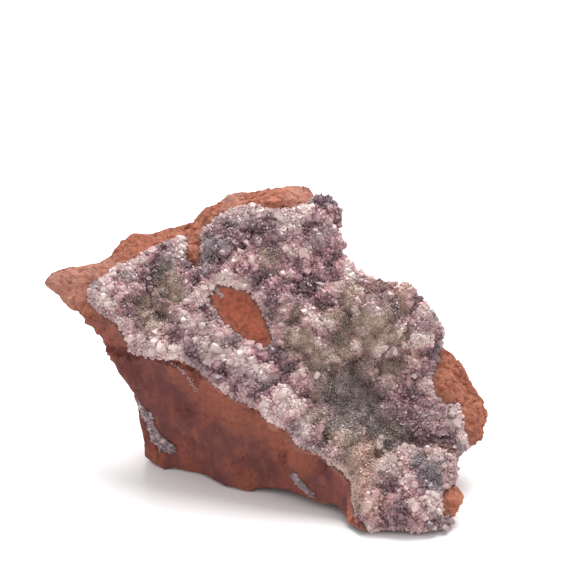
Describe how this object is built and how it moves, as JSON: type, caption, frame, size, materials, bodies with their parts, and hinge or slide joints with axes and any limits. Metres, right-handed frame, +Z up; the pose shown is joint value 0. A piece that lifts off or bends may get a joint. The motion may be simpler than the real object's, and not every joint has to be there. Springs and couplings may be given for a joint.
{
  "type": "adamite in limonite matrix specimen",
  "caption": "Broken lump of rust-brown limonite whose leaning front is crusted with mauve and grey adamite crystals; a mineral specimen that stands on its levelled foot.",
  "frame": {"origin": "on the table, under the middle of the specimen's box", "axes": "+Z up, +X to the viewer's right, along the specimen's length, and +Y away from the viewer, so the crystal face looks towards -Y and up"},
  "size_m": [0.09, 0.0602, 0.0569],
  "materials": {
    "limonite": "dull, earthy and chipped",
    "adamite": "glassy small crystals",
    "vein_adamite": "fine glassy druse"
  },
  "bodies": {
    "root": {"limonite_matrix": "limonite", "adamite_crust": "adamite", "left_vein": "vein_adamite", "underside_vein": "vein_adamite"}
  },
  "joints": []
}
